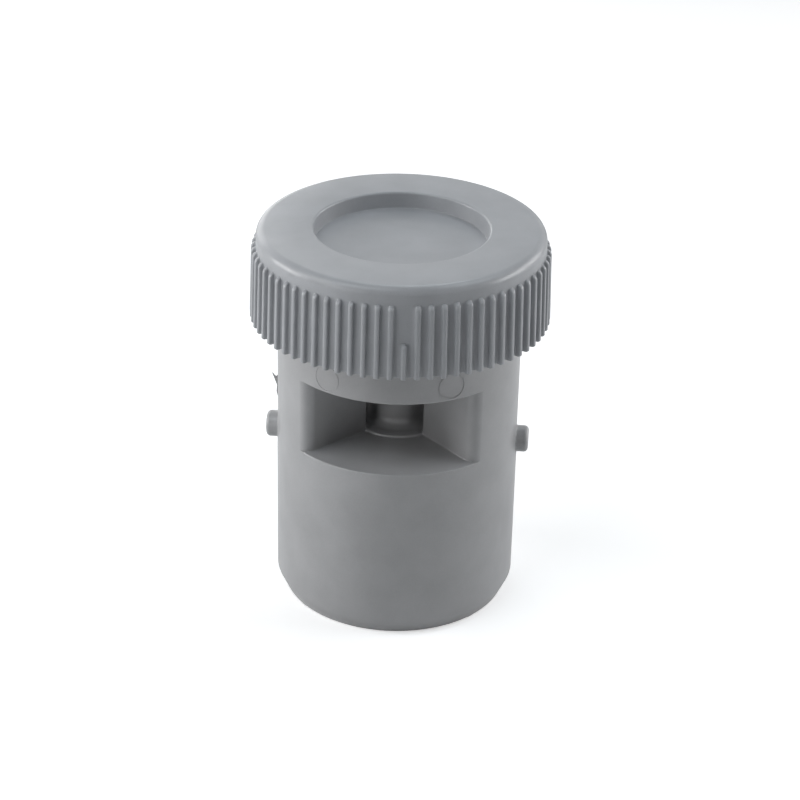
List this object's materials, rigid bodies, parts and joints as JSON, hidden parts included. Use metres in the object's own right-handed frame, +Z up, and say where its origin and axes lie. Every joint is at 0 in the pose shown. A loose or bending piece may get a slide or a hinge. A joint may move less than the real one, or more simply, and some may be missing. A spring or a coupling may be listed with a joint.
{
  "type": "air admittance valve",
  "caption": "Grey plastic air admittance valve with a plain spigot, side windows, stop pegs, a ribbed cap with a round recess, and a rubber disc that lifts off its seat.",
  "frame": {"origin": "centre of the spigot's foot, in the plane it stands on", "axes": "+Z up the valve's axis to the cap, -Y out of the front window, pegs on +X and -X"},
  "size_m": [0.0486, 0.0486, 0.0648],
  "materials": {
    "body_plastic": "moulded grey plastic, satin gloss",
    "cap_plastic": "moulded grey plastic, satin gloss",
    "rubber": "soft moulded rubber",
    "carrier_plastic": "natural moulded plastic"
  },
  "bodies": {
    "housing": {"valve_body": "body_plastic", "cap": "cap_plastic"},
    "shutter": {"membrane": "rubber", "membrane_carrier": "carrier_plastic"}
  },
  "joints": [
    {"name": "membrane_lift", "type": "slide", "parent": "housing", "child": "shutter", "axis": [0, 0, 1], "range_m": [0, 0.004]}
  ]
}
